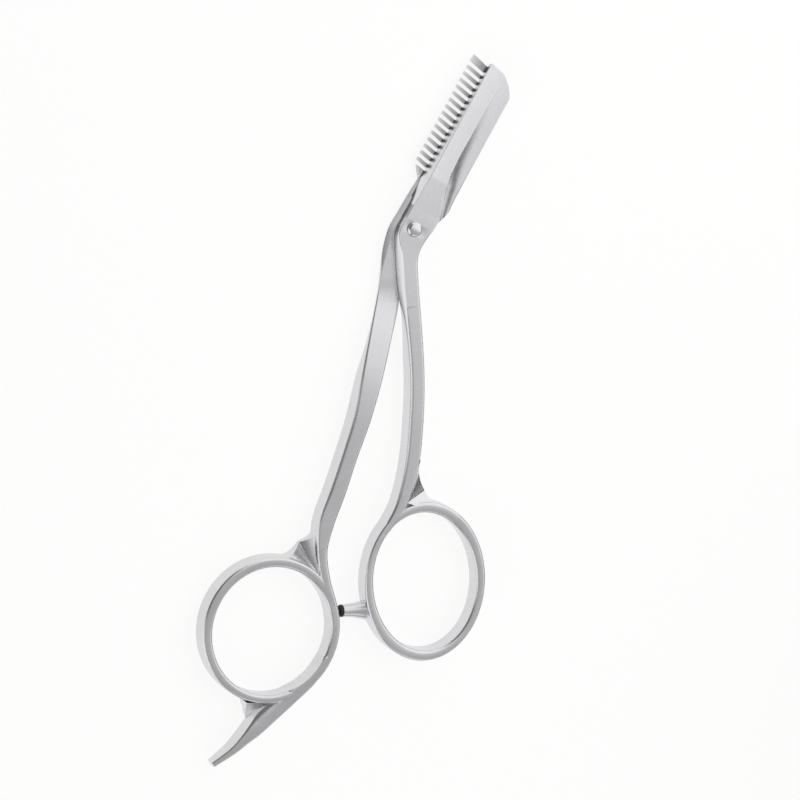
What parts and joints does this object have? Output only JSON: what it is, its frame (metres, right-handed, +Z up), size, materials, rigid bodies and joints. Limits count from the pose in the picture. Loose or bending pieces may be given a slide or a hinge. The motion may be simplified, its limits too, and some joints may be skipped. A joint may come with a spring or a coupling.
{
  "type": "thinning shears",
  "caption": "Offset thinning shears: slanted comb blade behind a bevelled straight blade, riveted pivot, two finger rings, a stop peg with a rubber bumper and a hooked finger rest.",
  "frame": {"origin": "on the pivot axis, in the plane that the shears lie on, at the middle of the rivet's flush tail", "axes": "+Y along the blades to the tip, +X to the side of the straight blade's cutting edge, +Z up through the rivet's domed head"},
  "size_m": [0.0567, 0.1378, 0.005],
  "materials": {
    "steel_comb": "satin-ground stainless steel, polished edges",
    "steel_cutting": "satin-ground stainless steel, finely ground bevel",
    "steel_rivet": "turned and polished stainless steel",
    "nylon": "natural nylon, matt",
    "rubber": "black moulded rubber, matt"
  },
  "bodies": {
    "comb_side": {"comb_half": "steel_comb", "pivot_rivet": "steel_rivet", "pivot_washer": "nylon"},
    "cutting_side": {"cutting_half": "steel_cutting", "stop_bumper": "rubber"}
  },
  "joints": [
    {"name": "blade_pivot", "type": "hinge", "parent": "comb_side", "child": "cutting_side", "pos_m": [0, 0, 0], "axis": [0, 0, 1], "range_deg": [0, 90]}
  ]
}
